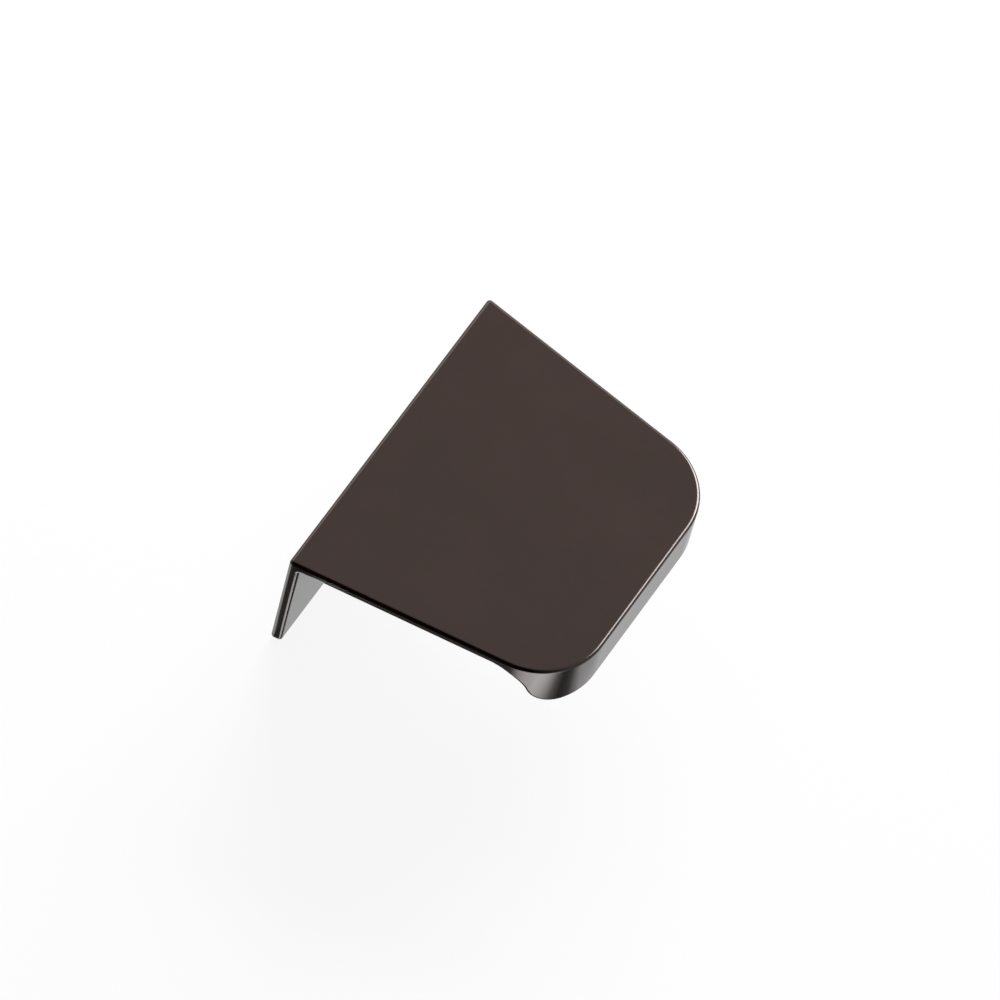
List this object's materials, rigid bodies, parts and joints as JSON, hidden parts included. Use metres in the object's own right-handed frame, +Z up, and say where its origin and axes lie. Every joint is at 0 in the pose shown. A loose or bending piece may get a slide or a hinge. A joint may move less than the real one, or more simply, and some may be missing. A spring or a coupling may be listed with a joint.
{
  "type": "cabinet edge pull",
  "caption": "Edge pull for a cabinet door or drawer front: flat tapered plate, rear leg with countersunk screw holes, and a round-cornered front lip hollowed for the fingers.",
  "frame": {"origin": "midway between the two screw holes, on the leg's inner face, which lies against the back of the door", "axes": "+X across the pull, -Y towards the lip at the front, +Z up from the leg to the flat plate"},
  "size_m": [0.0498, 0.04, 0.02],
  "materials": {
    "plated_zinc": "smooth dark brown plated and lacquered finish on a zinc casting"
  },
  "bodies": {
    "root": {"pull": "plated_zinc"}
  },
  "joints": []
}
